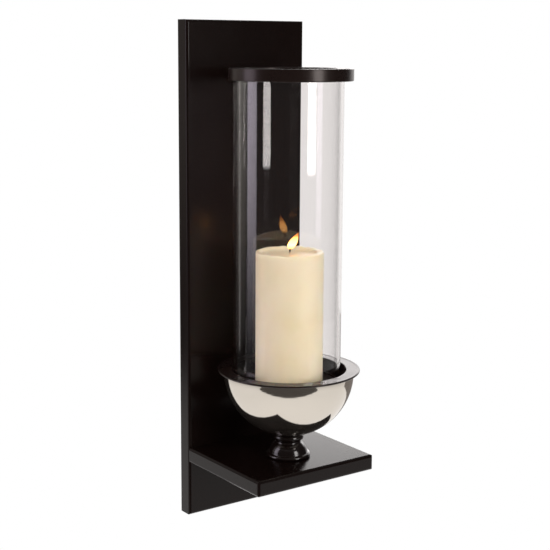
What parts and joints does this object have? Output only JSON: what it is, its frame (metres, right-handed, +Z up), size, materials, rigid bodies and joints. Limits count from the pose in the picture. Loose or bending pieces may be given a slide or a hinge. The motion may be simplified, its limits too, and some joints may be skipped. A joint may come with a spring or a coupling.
{
  "type": "wall sconce candle holder",
  "caption": "Tall wall sconce: back board and shelf carry a metal bowl with a dish, a pillar candle, a glass cylinder and a ring on top.",
  "frame": {"origin": "on the wall plane, midway between the two keyhole entry holes in the back", "axes": "+X to the right for someone facing the wall, +Y into the wall, +Z up"},
  "size_m": [0.16, 0.1828, 0.57],
  "materials": {
    "lacquered_wood": "espresso lacquer, high gloss",
    "dowel_wood": "raw beech",
    "zinc_steel": "zinc plated",
    "pedestal_black": "gloss black-brown",
    "polished_nickel": "mirror polished nickel",
    "dark_bronze": "dark bronze, satin",
    "clear_glass": "clear",
    "ivory_wax": "wax, satin",
    "wick_cotton": "charred cotton"
  },
  "bodies": {
    "sconce": {"back_board": "lacquered_wood", "shelf": "lacquered_wood", "shelf_dowels": "dowel_wood", "shelf_screws": "zinc_steel", "hanger_plate_upper": "zinc_steel", "hanger_plate_lower": "zinc_steel", "hanger_screws": "zinc_steel", "pedestal": "pedestal_black", "bowl": "polished_nickel", "bowl_bolt": "zinc_steel", "bowl_washer": "zinc_steel", "bowl_nut": "zinc_steel"},
    "dish_body": {"dish": "dark_bronze"},
    "glass_body": {"glass_cylinder": "clear_glass"},
    "ring_body": {"top_ring": "dark_bronze"},
    "candle_body": {"candle": "ivory_wax", "wick": "wick_cotton"}
  },
  "joints": [
    {"name": "dish_lift", "type": "slide", "parent": "sconce", "child": "dish_body", "axis": [0, 0, 1], "range_m": [0, 0.06]},
    {"name": "glass_lift", "type": "slide", "parent": "dish_body", "child": "glass_body", "axis": [0, 0, 1], "range_m": [0, 0.18]},
    {"name": "ring_lift", "type": "slide", "parent": "glass_body", "child": "ring_body", "axis": [0, 0, 1], "range_m": [0, 0.05]},
    {"name": "candle_lift", "type": "slide", "parent": "dish_body", "child": "candle_body", "axis": [0, 0, 1], "range_m": [0, 0.36]}
  ]
}
